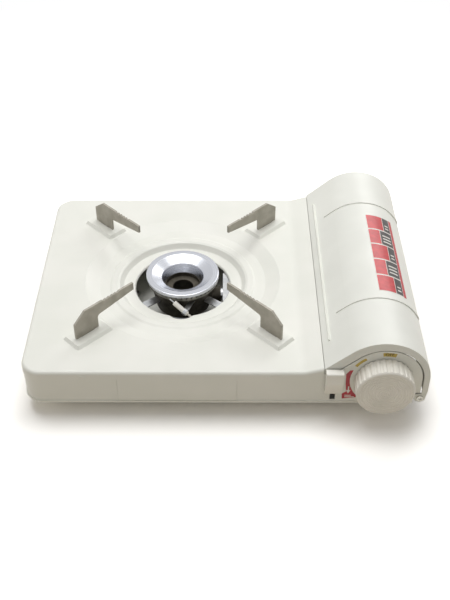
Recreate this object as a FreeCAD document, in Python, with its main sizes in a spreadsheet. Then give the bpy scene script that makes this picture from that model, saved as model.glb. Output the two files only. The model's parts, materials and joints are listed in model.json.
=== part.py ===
"""Portable butane cassette stove, millimetres.

+X runs from the burner to the cartridge bay, +Y from the knob to the back, +Z up.
The origin is under the middle of the whole stove, on the surface it stands on.
"""
import FreeCAD, Part
import math
import os
import re
import Sketcher

V = FreeCAD.Vector
doc = FreeCAD.newDocument("CassetteStove")
sheet = doc.addObject("Spreadsheet::Sheet", "Sizes")

SIZES = [
    ("left_reach", 170, "origin to the left side"),
    ("plate_deep", 252, "front to back of the body"),
    ("knob_out", 16, "how far the knob stands out of the front"),
    ("plate_top", 50.3, "height of the top plate"),
    ("sheet_thick", 0.8, "pressed steel sheet"),
    ("plan_radius", 17, "left corners of the body seen from above"),
    ("edge_radius", 3, "bend round the top plate"),
    ("skirt_deep", 8.2, "depth of the top plate's skirt"),
    ("skirt_gap", 0.3, "clearance round the skirt"),
    ("case_inset", 0.6, "how far the case wall stands inside the skirt"),
    ("rise_start", 66, "where the plate starts to rise to the bay"),
    ("rise_tall", 4.7, "rise of the plate at the bay"),
    ("rise_radius", 18, "hollow of that rise"),
    ("seam_x", 82, "seam between plate and cover"),
    ("seam_gap", 0.4, "half width of that seam"),
    ("tab_left", -89.3, "left side of the deep front tab"),
    ("tab_right", 10.1, "right side of the deep front tab"),
    ("hem_low", 15.8, "lower edge of the case"),
    ("hem_tall", 2.1, "rolled hem of the case"),
    ("lip_lap", 2, "how far the inner lip laps the case wall"),
    ("foot_tall", 7, "rubber foot"),
    ("foot_radius", 9, "rubber foot"),
    ("pan_left", -152, "left side of the base pan"),
    ("pan_right", 158.5, "right side of the base pan"),
    ("pan_inset", 12, "case to base pan, front and back"),
    ("pan_radius", 12, "corners of the base pan"),
    ("pan_ledge", 16.8, "top of the base pan's flange"),
    ("pan_kerb", 24, "top of the base pan's right wall"),
    ("vent_radius", 4, "air holes under the burner"),
    ("vent_circle", 56, "circle of the air holes"),
    ("vent_count", 12, "air holes"),
    ("dish_x", -39, "middle of the dish"),
    ("dish_radius", 89.4, "rim of the dish"),
    ("dish_step", 76.5, "foot of the dish's outer wall"),
    ("dish_drop", 4.8, "depth of the dish's shelf"),
    ("bead_outer", 67, "ring bead on the shelf, outer side"),
    ("bead_inner", 58, "ring bead on the shelf, inner side"),
    ("bead_tall", 0.9, "ring bead on the shelf"),
    ("well_radius", 54.5, "foot of the inner wall"),
    ("well_drop", 9.2, "depth of the dish's floor"),
    ("mouth_radius", 43.6, "hole round the burner"),
    ("mouth_lip", 1.2, "turned-down lip of that hole"),
    ("notch_radius", 13.5, "notch of the hole for the electrode"),
    ("notch_reach", 48.5, "burner axis to the far side of the notch"),
    ("arm_turn", 45, "direction of the pot supports"),
    ("arm_thick", 2, "pot support plate"),
    ("arm_tall", 24.9, "pot support above its pad"),
    ("arm_outer", 123.8, "outer edge of a pot support"),
    ("arm_inner", 99.6, "inner edge of its foot"),
    ("arm_corner", 112, "top corner of a pot support"),
    ("arm_shoulder", 15.6, "height of its upright outer edge"),
    ("arm_tip", 58.7, "inner tip of a pot support"),
    ("arm_tip_deep", 7.3, "depth of the tip"),
    ("arm_throat", 12.6, "height of its underside at the foot"),
    ("tooth_start", 92.7, "outermost tooth"),
    ("tooth_pitch", 3.7, "pitch of the teeth"),
    ("tooth_deep", 1.3, "depth of the teeth"),
    ("tooth_count", 5, "teeth"),
    ("tab_wide", 13, "tongue of a pot support through its pad"),
    ("tab_deep", 6, "tongue below the pad"),
    ("slot_gap", 0.25, "clearance round the tongue"),
    ("pad_rise", 2.6, "height of a support pad"),
    ("pad_near", 90.5, "pad, end near the burner"),
    ("pad_far", 131, "pad, far end"),
    ("pad_wide", 23, "pad, across"),
    ("pad_slant", 40, "slope of the pad's sides, in degrees"),
    ("keeper_long", 19, "keeper under a pad"),
    ("keeper_wide", 8, "keeper under a pad"),
    ("keeper_thick", 1.2, "keeper under a pad"),
    ("burner_base", 21, "underside of the burner casting"),
    ("burner_seat", 48.5, "top of the burner casting"),
    ("burner_wide", 31, "radius of the burner casting at its top"),
    ("burner_foot", 25, "radius of the burner casting at its foot"),
    ("burner_wall", 2.2, "wall of the burner casting"),
    ("core_radius", 15.6, "bore through the burner casting"),
    ("core_wall", 1.4, "wall round that bore"),
    ("ledge_tall", 38, "ledge inside the bore"),
    ("ledge_radius", 9.5, "hole in that ledge"),
    ("port_tall", 3.3, "port ring"),
    ("port_radius", 32.4, "port ring"),
    ("port_deep", 4.2, "port ring, across its wall"),
    ("port_count", 44, "saw-tooth ports"),
    ("port_half", 1.1, "half width of a port"),
    ("cap_radius", 33.4, "burner cap"),
    ("cap_tall", 3.9, "burner cap above the port ring"),
    ("cap_thick", 0.9, "spun wall of the burner cap"),
    ("cap_flat", 27.9, "inner edge of the cap's flat rim"),
    ("cone_radius", 19.2, "foot of the shallow cone"),
    ("cone_drop", 4.6, "depth of the shallow cone"),
    ("throat_radius", 16, "lower end of the steep cone"),
    ("throat_drop", 12.6, "depth of the steep cone"),
    ("tube_z", 29.5, "axis of the mixing tube"),
    ("tube_radius", 6.2, "mixing tube"),
    ("tube_wall", 0.9, "mixing tube"),
    ("tube_start", 27.5, "burner axis to the end of the mixing tube"),
    ("tube_long", 64, "mixing tube"),
    ("boss_wall", 1.8, "boss round the mixing tube"),
    ("boss_reach", 35, "burner axis to the face of that boss"),
    ("shutter_long", 12, "air shutter"),
    ("shutter_lap", 9, "air shutter on the mixing tube"),
    ("jet_radius", 4, "injector jet"),
    ("jet_long", 14, "injector jet"),
    ("jet_gap", 3, "mixing tube to jet"),
    ("gas_radius", 2.2, "gas tube"),
    ("gas_bend", 7, "bends of the gas tube"),
    ("gas_lane", 78, "where the gas tube runs front to back"),
    ("gas_low", 13, "height of the gas tube under the lever"),
    ("bore_gap", 0.05, "running and locating clearance of a shaft"),
    ("bay_x", 130, "cartridge axis"),
    ("bay_z", 43.5, "cartridge axis"),
    ("cover_radius", 40, "outside of the cover"),
    ("cover_slope", 40.5, "slope of the cover at the seam, in degrees"),
    ("cover_low", 21, "lower edge of the cover's right side"),
    ("cover_break", 30, "where that side starts to lean in"),
    ("cover_tip", 49.5, "lower edge of the cover at the seam"),
    ("end_thick", 1, "end plates of the cover"),
    ("rim_wide", 4.5, "outer rim of an end plate"),
    ("rim_step", 0.5, "step behind that rim"),
    ("rim_gap", 1.3, "gap between end plate and panel"),
    ("rib_wide", 2.4, "bead across the cover"),
    ("rib_tall", 0.8, "bead across the cover"),
    ("rib_front", -60, "front bead of the cover"),
    ("rib_back", 80.5, "back bead of the cover"),
    ("rib_start", 95.5, "left end of the beads"),
    ("rib_end", 24.4, "where they end, degrees above level"),
    ("seam_rib", 88, "straight bead beside the seam"),
    ("seam_rib_front", -89, "its front end"),
    ("seam_rib_back", 109, "its back end"),
    ("hinge_x", 164, "hinge axis"),
    ("hinge_z", 21.8, "hinge axis"),
    ("ear_radius", 4.7, "hinge ear of an end plate"),
    ("ear_gap", 0.8, "clearance round the ear"),
    ("pin_radius", 1.6, "shank of a hinge screw"),
    ("screw_head", 3, "head of a hinge screw"),
    ("head_tall", 1.2, "head of a hinge screw"),
    ("bracket_radius", 3.3, "round end of a hinge bracket"),
    ("bracket_thick", 1.5, "hinge bracket"),
    ("bracket_long", 16, "hinge bracket"),
    ("knob_shift_x", 1.5, "cartridge axis to knob axis"),
    ("knob_shift_z", -1, "cartridge axis to knob axis"),
    ("knob_radius", 24.3, "knob"),
    ("knob_edge", 2, "rounded front edge of the knob"),
    ("knob_gap", 0.6, "knob to panel"),
    ("knob_wall", 2.4, "walls of the knob"),
    ("flute_count", 30, "flutes round the knob"),
    ("flute_radius", 2, "flutes round the knob"),
    ("flute_deep", 0.75, "flutes round the knob"),
    ("panel_radius", 32.3, "arch of the control panel"),
    ("panel_slope", 41, "slope of the panel at the lever, in degrees"),
    ("panel_corner", 90, "where that slope ends"),
    ("spindle_radius", 3, "valve spindle"),
    ("spindle_hole", 4, "hole for it in the panel"),
    ("cam_gap", 0.5, "clearance beside the cam"),
    ("cam_thick", 3, "igniter cam"),
    ("cam_start", 8, "least radius of the cam"),
    ("cam_rate", 1.5, "rise of the cam for each radian"),
    ("cam_sweep", 2.1, "turn over which it rises, in radians"),
    ("clip_radius", 5.4, "retaining clip of the spindle"),
    ("clip_thick", 0.8, "retaining clip of the spindle"),
    ("follow_gap", 0.45, "cam to striker"),
    ("striker_radius", 2.2, "striker shaft"),
    ("striker_head", 3.4, "striker head"),
    ("head_thick", 2, "striker head"),
    ("striker_long", 16, "striker"),
    ("piezo_long", 17, "igniter body"),
    ("piezo_tall", 13, "igniter body"),
    ("piezo_deep", 8.4, "igniter body"),
    ("piezo_right", 114.5, "right end of the igniter body"),
    ("coil_wire", 0.28, "radius of the spring wire"),
    ("coil_radius", 2.85, "middle of the spring wire"),
    ("coil_turns", 3, "turns of the spring"),
    ("valve_radius", 14, "regulator body"),
    ("valve_long", 23, "regulator body"),
    ("valve_gap", 4.6, "clip to regulator body"),
    ("flange_radius", 18.5, "front flange of the regulator"),
    ("flange_thick", 3, "front flange of the regulator"),
    ("post_radius", 2, "posts between panel and regulator"),
    ("post_circle", 16, "circle of the posts"),
    ("outlet_side", 8, "bay axis to the gas outlet"),
    ("outlet_back", 14, "regulator face to the gas outlet"),
    ("outlet_boss", 4.6, "boss round the gas outlet"),
    ("outlet_reach", 18, "bay axis down to the face of that boss"),
    ("dome_radius", 18.5, "regulator cap"),
    ("dome_long", 5, "regulator cap"),
    ("socket_radius", 13, "cartridge socket"),
    ("socket_long", 8, "cartridge socket"),
    ("nozzle_radius", 6.8, "bore for the cartridge nozzle"),
    ("nozzle_deep", 5, "bore for the cartridge nozzle"),
    ("seal_outer", 5.4, "stem seal and its pocket"),
    ("seal_radius", 3.6, "hole of the stem seal"),
    ("seal_thick", 1.4, "stem seal"),
    ("guide_radius", 34, "top of the guide plate"),
    ("guide_thick", 1.2, "guide plate"),
    ("guide_gap", 0.3, "socket to guide plate"),
    ("can_radius", 33.5, "standard cartridge"),
    ("can_long", 184, "standard cartridge without its nozzle"),
    ("cradle_gap", 0.4, "cartridge to its cradles"),
    ("cradle_half", 24, "half width of a cradle"),
    ("cradle_thick", 4, "cradle, front to back"),
    ("cradle_front", -50, "front cradle"),
    ("cradle_back", 70, "back cradle"),
    ("wall_x", 82.6, "left face of the bay partition"),
    ("wall_top", 48, "top of the bay partition"),
    ("heat_z", 37.4, "underside of the heat plate"),
    ("heat_thick", 1.2, "heat plate"),
    ("heat_wide", 40, "heat plate"),
    ("heat_near", 37, "burner axis to the heat plate"),
    ("heat_reach", 95, "end of the heat plate beside the cartridge"),
    ("heat_drop", 16, "flange of the heat plate"),
    ("lever_x", 90.5, "middle of the lock lever"),
    ("lever_wide", 14.4, "cap of the lever"),
    ("lever_top", 56, "top of the cap"),
    ("lever_break", 44.6, "lower edge of the cap's upright face"),
    ("lever_low", 29, "lower edge of the cap"),
    ("lever_out", 7.5, "how far the cap stands out"),
    ("lever_back", 1.2, "cap to the front plane"),
    ("lever_thick", 2, "lever plate"),
    ("neck_grip", 1.8, "lever neck inside its cap"),
    ("crank_half", 1.6, "half width of the crank"),
    ("neck_low", 34, "lever neck, lower edge"),
    ("neck_high", 42.5, "lever neck, upper edge"),
    ("slot_low", 19.3, "lower end of the lever's slot"),
    ("slot_high", 45, "upper end of the lever's slot"),
    ("slot_wide", 4.5, "lever's slot"),
    ("pivot_y", -86, "lever pivot"),
    ("pivot_z", 27, "lever pivot"),
    ("pivot_radius", 1.6, "lever pivot pin"),
    ("hub_radius", 4.5, "round end of the lever"),
    ("crank_tall", 17.5, "pivot to the crank's tip"),
    ("tip_radius", 2.2, "tip of the crank"),
    ("rod_x", 86.6, "left face of the push rod"),
    ("rod_thick", 1.2, "push rod"),
    ("rod_low", 42, "lower edge of the push rod"),
    ("rod_high", 47, "upper edge of the push rod"),
    ("fork_gap", 0.4, "crank tip in its fork"),
    ("fork_wall", 2, "fork of the push rod"),
    ("pusher_thick", 1.5, "pusher plate"),
    ("pusher_radius", 30, "pusher plate"),
    ("pusher_gap", 0.8, "cartridge to pusher spring"),
    ("spring_rise", 3, "bow of the pusher spring"),
    ("guide_wide", 8, "guides of the push rod"),
    ("rod_gap", 0.4, "push rod in its guides"),
    ("rod_guide_front", -60, "front guide of the push rod"),
    ("rod_guide_rear", 95, "rear guide of the push rod"),
    ("lead_radius", 1.1, "ignition lead"),
    ("foot_left", -125, "left feet"),
    ("foot_right", 135, "right feet"),
    ("foot_front", -85, "front feet"),
    ("foot_rear", 100, "rear feet"),
    ("stud_left", -118, "left stud on the skirt"),
    ("stud_right", 36.3, "right stud on the skirt"),
    ("stud_z", 44.5, "height of the studs"),
    ("stud_radius", 2.3, "studs on the skirt"),
    ("stud_tall", 0.4, "studs on the skirt"),
]

CELLS = {name for name, number, meaning in SIZES}
WORD = re.compile(r"[a-z][a-z_0-9]*")

# Places that several pieces share, worked out from the sheet
MIDDLE = "knob_out / 2"
HALF = "(plate_deep / 2)"
FRONT = "(knob_out / 2 - plate_deep / 2)"
PANEL = "(knob_out / 2 - plate_deep / 2 + case_inset)"
PANEL_BACK = "(knob_out / 2 - plate_deep / 2 + case_inset + sheet_thick)"
WALL_OUT = "(plate_deep / 2 - case_inset)"
WALL_IN = "(plate_deep / 2 - case_inset - sheet_thick)"
SEAM_Z = "(plate_top - skirt_deep - skirt_gap)"
KNOB_X = "(bay_x + knob_shift_x)"
KNOB_Z = "(bay_z + knob_shift_z)"
PAD_TOP = "(plate_top + pad_rise)"
FLOOR = "(foot_tall + sheet_thick)"
UNDER = "(plate_top - sheet_thick)"
SEAM_LOW = "(cover_tip - rim_gap + skirt_gap)"
PORT_TOP = "(burner_seat + port_tall)"
CAP_TOP = "(burner_seat + port_tall + cap_tall)"
TUBE_END = "(dish_x + tube_start + tube_long)"
CAM_FACE = "(%s + cam_gap)" % PANEL_BACK
CLIP_FACE = "(%s + cam_thick)" % CAM_FACE
VALVE_FACE = "(%s + clip_thick + valve_gap)" % CLIP_FACE
DOME_FACE = "(%s + valve_long)" % VALVE_FACE
SOCKET_FACE = "(%s + dome_long)" % DOME_FACE
NOSE = "(%s + socket_long)" % SOCKET_FACE
CAN_END = "(%s + can_long)" % NOSE
PUSHER_FACE = "(%s + pusher_gap + spring_rise)" % CAN_END
STRIKER_Y = "(%s + piezo_deep / 2)" % PANEL_BACK


def fill_sheet():
    """One row for each driving size: name, number, meaning."""
    for row, (name, number, meaning) in enumerate(SIZES, start=1):
        sheet.set("A%d" % row, name)
        sheet.set("B%d" % row, str(number))
        sheet.set("C%d" % row, meaning)
        sheet.setAlias("B%d" % row, name)
    doc.recompute()


def bind(rule):
    """Turn a rule such as "plate_top - sheet_thick" into an expression on the sheet."""
    return WORD.sub(lambda word: "Sizes." + word[0] if word[0] in CELLS else word[0], rule)


def value(rule):
    return float(sheet.evalExpression(bind(rule)))


def follow(thing, name, rule):
    """Tie a property to a rule on the sheet."""
    thing.setExpression(name, bind(rule))


# Building blocks: bodies, sketches and features

PLANES = {"plan": "XY_Plane", "front": "XZ_Plane", "side": "YZ_Plane"}
cuts = []


def new_body(label, x="0", y="0", z="0", turn=None):
    """A body whose own origin follows the sheet; turn is an axis and an angle."""
    body = doc.addObject("PartDesign::Body", label)
    body.Label = label
    if turn:
        body.Placement = FreeCAD.Placement(V(), FreeCAD.Rotation(V(*turn[0]), turn[1]))
    for axis, rule in zip("xyz", (x, y, z)):
        if rule != "0":
            follow(body, "Placement.Base." + axis, rule)
    return body


def new_sketch(body, plane, lift="0", turn=0):
    """A sketch on one of the body's planes, lifted along its normal and turned about it.

    The normals are +Z for plan, -Y for front and +X for side.
    """
    base = [item for item in body.Origin.OriginFeatures if item.Role == PLANES[plane]][0]
    sketch = body.newObject("Sketcher::SketchObject", body.Name + "_sketch")
    sketch.AttachmentSupport = [(base, "")]
    sketch.MapMode = "FlatFace"
    if turn:
        sketch.AttachmentOffset = FreeCAD.Placement(V(), FreeCAD.Rotation(V(0, 0, 1), turn))
    if lift != "0":
        follow(sketch, "AttachmentOffset.Base.z", lift)
    return sketch


def pin_point(sketch, item, spot, x, y):
    """Hold one point of a sketch at a place given by two rules."""
    for kind, rule in (("DistanceX", x), ("DistanceY", y)):
        number = sketch.addConstraint(Sketcher.Constraint(kind, -1, 1, item, spot, value(rule)))
        follow(sketch, "Constraints[%d]" % number, rule)


def draw_circle(sketch, x, y, radius):
    size = value(radius)
    item = sketch.addGeometry(Part.Circle(V(value(x), value(y), 0), V(0, 0, 1), size), False)
    pin_point(sketch, item, 3, x, y)
    number = sketch.addConstraint(Sketcher.Constraint("Radius", item, size))
    follow(sketch, "Constraints[%d]" % number, radius)


def draw_outline(sketch, corners):
    """A closed outline; a corner is (x, y), or (x, y, radius) where it is rounded."""
    points = [V(value(corner[0]), value(corner[1]), 0) for corner in corners]
    count = len(points)
    starts = list(points)
    ends = list(points)
    centres = [None] * count
    for i, corner in enumerate(corners):
        if len(corner) == 2:
            continue
        back = (points[i - 1] - points[i]).normalize()
        ahead = (points[(i + 1) % count] - points[i]).normalize()
        half = back.getAngle(ahead) / 2
        size = value(corner[2])
        starts[i] = points[i] + back * (size / math.tan(half))
        ends[i] = points[i] + ahead * (size / math.tan(half))
        centres[i] = points[i] + (back + ahead).normalize() * (size / math.sin(half))
    lines = []
    for i in range(count):
        line = Part.LineSegment(ends[i], starts[(i + 1) % count])
        lines.append(sketch.addGeometry(line, False))
    for i, corner in enumerate(corners):
        before = lines[i - 1]
        after = lines[i]
        if centres[i] is None:
            sketch.addConstraint(Sketcher.Constraint("Coincident", before, 2, after, 1))
            pin_point(sketch, after, 1, corner[0], corner[1])
            continue
        round_corner(sketch, before, after, points[i], starts[i], ends[i], centres[i], corner)


def round_corner(sketch, before, after, point, start, end, centre, corner):
    """The arc between two lines, tangent to both, whose corner stays where it was."""
    size = value(corner[2])
    low = math.atan2(start.y - centre.y, start.x - centre.x)
    high = math.atan2(end.y - centre.y, end.x - centre.x)
    anticlockwise = (start - centre).cross(end - centre).z > 0
    if not anticlockwise:
        low, high = high, low
    if high < low:
        high += 2 * math.pi
    circle = Part.Circle(centre, V(0, 0, 1), size)
    arc = sketch.addGeometry(Part.ArcOfCircle(circle, low, high), False)
    first, last = (1, 2) if anticlockwise else (2, 1)
    sketch.addConstraint(Sketcher.Constraint("Tangent", before, 2, arc, first))
    sketch.addConstraint(Sketcher.Constraint("Tangent", after, 1, arc, last))
    number = sketch.addConstraint(Sketcher.Constraint("Radius", arc, size))
    follow(sketch, "Constraints[%d]" % number, corner[2])
    mark = sketch.addGeometry(Part.Point(point), True)
    pin_point(sketch, mark, 1, corner[0], corner[1])
    sketch.addConstraint(Sketcher.Constraint("PointOnObject", mark, 1, before))
    sketch.addConstraint(Sketcher.Constraint("PointOnObject", mark, 1, after))


def draw(sketch, shapes):
    """Draw circles, given as ("circle", x, y, radius), and outlines, given as corners."""
    for shape in shapes:
        if shape[0] == "circle":
            draw_circle(sketch, *shape[1:])
        else:
            draw_outline(sketch, shape)


def add(body, plane, start, length, *shapes, turn=0, slant=None):
    """A pad from start, along the plane's normal."""
    sketch = new_sketch(body, plane, start, turn)
    draw(sketch, shapes)
    pad = body.newObject("PartDesign::Pad", body.Name + "_pad")
    pad.Profile = sketch
    follow(pad, "Length", length)
    if slant:
        follow(pad, "TaperAngle", slant)
    return pad


def cut(body, plane, start, length, *shapes, turn=0):
    """A pocket from start, along the plane's normal."""
    before = body.Tip
    sketch = new_sketch(body, plane, start, turn)
    draw(sketch, shapes)
    pocket = body.newObject("PartDesign::Pocket", body.Name + "_pocket")
    pocket.Profile = sketch
    pocket.Reversed = True
    follow(pocket, "Length", length)
    cuts.append((before, pocket))
    return pocket


def spin(body, plane, *shapes, groove=False):
    """A full turn about the sketch's upright axis: Z for front, Y for plan."""
    before = body.Tip
    sketch = new_sketch(body, plane)
    draw(sketch, shapes)
    kind = "Groove" if groove else "Revolution"
    made = body.newObject("PartDesign::" + kind, body.Name + "_turned")
    made.Profile = sketch
    made.ReferenceAxis = (sketch, ["V_Axis"])
    made.Angle = 360
    if groove:
        cuts.append((before, made))
    return made


def around(body, feature, role, count):
    """Repeat a feature evenly round one of the body's axes."""
    axis = [item for item in body.Origin.OriginFeatures if item.Role == role][0]
    pattern = body.newObject("PartDesign::PolarPattern", body.Name + "_pattern")
    pattern.Originals = [feature]
    pattern.Axis = (axis, [""])
    pattern.Angle = 360
    follow(pattern, "Occurrences", count)
    body.Tip = pattern
    return pattern


def soften(body, radius, wanted):
    """Round the edges for which wanted(middle, box) is true."""
    doc.recompute()
    base = body.Tip
    names = []
    for number, edge in enumerate(base.Shape.Edges, start=1):
        if wanted(edge.CenterOfMass, edge.BoundBox):
            names.append("Edge%d" % number)
    fillet = body.newObject("PartDesign::Fillet", body.Name + "_fillet")
    fillet.Base = (base, names)
    follow(fillet, "Radius", radius)
    return fillet


def box(left, right, low, high, radius=None):
    """Four corners of a rectangle, rounded if a radius is given."""
    corners = [(left, low), (right, low), (right, high), (left, high)]
    if radius:
        corners = [corner + (radius,) for corner in corners]
    return corners


def group(label, members):
    """Several separate solids in one node."""
    compound = doc.addObject("Part::Compound", label)
    compound.Label = label
    compound.Links = members
    return compound


def plain(label, shape):
    """A piece whose shape is worked out directly."""
    piece = doc.addObject("Part::Feature", label)
    piece.Label = label
    piece.Shape = shape
    piece.Placement = FreeCAD.Placement()
    return piece


# Case, base pan and top plate

def wall_ring(inset, thick, end):
    """Left, front and back walls seen from above, open towards the bay."""
    far = "(plate_deep / 2 - %s)" % inset
    near = "(%s - %s)" % (far, thick)
    left = "(0 - left_reach + %s)" % inset
    inner = "(%s + %s)" % (left, thick)
    outer_round = "plan_radius - %s" % inset
    inner_round = "plan_radius - %s - %s" % (inset, thick)
    return [
        (end, "0 - " + far), (left, "0 - " + far, outer_round), (left, far, outer_round), (end, far),
        (end, near), (inner, near, inner_round), (inner, "0 - " + near, inner_round),
        (end, "0 - " + near),
    ]


def arch_height(radius, angle):
    """Height above the arch's centre at which its upright side meets its slope."""
    return "%s * (1 + sin(%s)) / cos(%s)" % (radius, angle, angle)


def slope_height(radius, angle, centre_x, centre_z, x):
    """Height at x of the straight slope that runs into an arch."""
    rise = arch_height(radius, angle)
    return "(%s + %s - (%s + %s - %s) * tan(%s))" % (centre_z, rise, centre_x, radius, x, angle)


def panel_arch(offset):
    """Corners of the arch round the knob, from its right foot to the lever, moved out by offset."""
    radius = "(panel_radius + %s)" % offset
    right = "(%s + %s)" % (KNOB_X, radius)
    peak = "%s + %s" % (KNOB_Z, arch_height(radius, "panel_slope"))
    corner_z = slope_height(radius, "panel_slope", KNOB_X, KNOB_Z, "panel_corner")
    return [(right, peak, radius), ("panel_corner", corner_z, "3")]


def panel_outline():
    """One end of the case, under the cover, seen from the front."""
    foot = "hinge_x - ear_radius - ear_gap"
    ear_top = "hinge_z + ear_radius + ear_gap"
    corner_z = slope_height("panel_radius", "panel_slope", KNOB_X, KNOB_Z, "panel_corner")
    outline = [("rise_start - 6", "hem_low"), (foot, "hem_low"), (foot, ear_top),
               (KNOB_X + " + panel_radius", ear_top)]
    outline += panel_arch("0")
    outline += [("seam_x + 0.2", corner_z), ("seam_x + 0.2", SEAM_LOW + " - skirt_gap"),
                ("rise_start + 3", SEAM_Z, "12"),
                ("rise_start - 6", SEAM_Z)]
    return outline


def make_lower_case():
    case = new_body("lower_case", y=MIDDLE)
    add(case, "plan", "hem_low", SEAM_Z + " - hem_low",
        wall_ring("case_inset", "sheet_thick", "rise_start"))
    inner = "(sheet_thick + skirt_gap)"
    lip_base = SEAM_Z + " - lip_lap"
    add(case, "plan", lip_base, UNDER + " - edge_radius - (%s)" % lip_base,
        wall_ring(inner, "sheet_thick", "rise_start"))
    foot = "hinge_x - ear_radius - ear_gap"
    add(case, "plan", "hem_low", "hem_tall", wall_ring("0", "(case_inset + sheet_thick)", foot))
    for face in (WALL_IN, "0 - " + WALL_OUT):
        add(case, "front", face, "sheet_thick", panel_outline())
    recess = box("tab_left - 2", "tab_right + 2", "pan_ledge + skirt_gap", SEAM_Z)
    add(case, "front", "%s - %s - sheet_thick" % (HALF, inner), "sheet_thick", recess)
    niche = box("tab_left - skirt_gap", "tab_right + skirt_gap", "hem_low + hem_tall + skirt_gap",
                "plate_top")
    cut(case, "front", "%s - %s" % (HALF, inner), "sheet_thick + skirt_gap", niche)
    slot = box("lever_x - slot_wide / 2", "lever_x + slot_wide / 2", "slot_low", "slot_high")
    hole = ("circle", KNOB_X, KNOB_Z, "spindle_hole")
    cut(case, "front", WALL_IN, "sheet_thick", slot, hole)
    vents = [box("bay_x - 16", "bay_x + 16", "bay_z + %g" % lift, "bay_z + %g" % (lift + 3), "1.4")
             for lift in (-12, -4, 4, 12)]
    cut(case, "front", "0 - " + WALL_OUT, "sheet_thick", *vents)
    return case


def make_base_pan():
    pan = new_body("base_pan", y=MIDDLE)
    half = "(%s - pan_inset)" % WALL_IN
    outer = box("pan_left", "pan_right", "0 - " + half, half, "pan_radius")
    inner = box("pan_left + sheet_thick", "pan_right - sheet_thick", "sheet_thick - " + half,
                half + " - sheet_thick", "pan_radius - sheet_thick")
    add(pan, "plan", "foot_tall", "pan_ledge - foot_tall", outer)
    cut(pan, "plan", FLOOR, "pan_ledge - foot_tall", inner)
    left = "case_inset + sheet_thick - left_reach"
    round_left = "plan_radius - case_inset - sheet_thick"
    flange = [("pan_right", "0 - " + WALL_IN), (left, "0 - " + WALL_IN, round_left),
              (left, WALL_IN, round_left), ("pan_right", WALL_IN)]
    add(pan, "plan", "pan_ledge - sheet_thick", "sheet_thick", flange, inner)
    kerb = box("pan_radius - " + half, half + " - pan_radius", "pan_ledge - 1", "pan_kerb")
    add(pan, "side", "pan_right - sheet_thick", "sheet_thick", kerb)
    return pan


def vent_holes(pan):
    """Air holes under the burner, in a circle round its axis."""
    count = int(value("vent_count"))
    shapes = []
    for number in range(count):
        angle = "%g" % (360 * number / count)
        shapes.append(("circle", "dish_x + vent_circle * cos(%s)" % angle,
                       "vent_circle * sin(%s)" % angle, "vent_radius"))
    cut(pan, "plan", "foot_tall", "sheet_thick", *shapes)


def dish_profile():
    """Section of the pressed dish: its upper side, and the same line one sheet lower."""
    steps = [
        ("dish_radius + 2", "0", None), ("dish_radius", "0", "1.5"),
        ("dish_step", "0 - dish_drop", "1.8"), ("bead_outer", "0 - dish_drop", "1"),
        ("bead_outer - 2", "bead_tall - dish_drop", "1"),
        ("bead_inner + 2", "bead_tall - dish_drop", "1"),
        ("bead_inner", "0 - dish_drop", "1"),
        ("well_radius", "0 - well_drop", "1.2"), ("mouth_radius + 1", "0 - well_drop", "0.5"),
        ("mouth_radius", "0 - well_drop - mouth_lip", None),
    ]
    top = []
    under = []
    for radius, drop, bend in steps:
        end = (bend,) if bend else ()
        top.append((radius, "plate_top + " + drop) + end)
        under.append((radius, "plate_top - sheet_thick + " + drop) + end)
    return top + under[::-1]


def make_top_plate():
    plate = new_body("top_plate", x="dish_x", y=MIDDLE)
    left = "0 - left_reach - dish_x"
    seam = "seam_x - dish_x"
    skirt = "plate_top - skirt_deep"
    section = [
        (left, skirt), (left, "plate_top"), ("rise_start - dish_x", "plate_top", "rise_radius"),
        (seam, "plate_top + rise_tall"), (seam, SEAM_LOW),
        ("rise_start + 3 - dish_x", skirt, "12"),
    ]
    add(plate, "front", "0 - " + HALF, "plate_deep", section)
    edge = value(left)
    soften(plate, "plan_radius",
           lambda middle, size: abs(middle.x - edge) < 0.1 and size.YLength < 0.1)
    top = value("plate_top")
    half = value(HALF)
    bend = value("plan_radius") + 1

    def on_rim(middle, size):
        outside = abs(middle.y) > half - bend or middle.x < edge + bend
        return size.ZMin > top - 0.1 and outside

    soften(plate, "edge_radius", on_rim)
    doc.recompute()
    hollow_out(plate)
    add(plate, "front", HALF + " - sheet_thick", "sheet_thick",
        box("tab_left - dish_x", "tab_right - dish_x", "hem_low + hem_tall + skirt_gap * 2",
            skirt + " + 1"))
    cut(plate, "plan", UNDER + " - 1", "sheet_thick + 2", ("circle", "0", "0", "dish_radius + 1"))
    spin(plate, "front", dish_profile())
    pad = add(plate, "plan", UNDER, "sheet_thick + pad_rise",
              box("pad_near", "pad_far", "0 - pad_wide / 2", "pad_wide / 2", "3"),
              turn=value("arm_turn"), slant="0 - pad_slant")
    around(plate, pad, "Z_Axis", "4")
    slot = cut(plate, "plan", UNDER + " - 1", "sheet_thick + pad_rise + 2", tongue_hole("slot_gap"),
               turn=value("arm_turn"))
    around(plate, slot, "Z_Axis", "4")
    cut(plate, "plan", "plate_top - well_drop - 4", "5",
        ("circle", "0", "notch_radius - notch_reach", "notch_radius"))
    return plate


def tongue_hole(gap):
    """The hole that a pot support's tongue goes through, in its own direction."""
    middle = "(arm_inner + arm_outer) / 2"
    return box("%s - tab_wide / 2 - %s" % (middle, gap), "%s + tab_wide / 2 + %s" % (middle, gap),
               "0 - arm_thick / 2 - " + gap, "arm_thick / 2 + " + gap)


def hollow_out(plate):
    """Leave only a sheet: open the block at its lower side."""
    base = plate.Tip
    names = []
    for number, face in enumerate(base.Shape.Faces, start=1):
        normal = face.normalAt(*face.Surface.parameter(face.CenterOfMass))
        if normal.z < -0.2:
            names.append("Face%d" % number)
    shell = plate.newObject("PartDesign::Thickness", "top_plate_sheet")
    shell.Base = (base, names)
    shell.Reversed = True
    follow(shell, "Value", "sheet_thick")
    return shell


# Pot supports and what holds them

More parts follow.
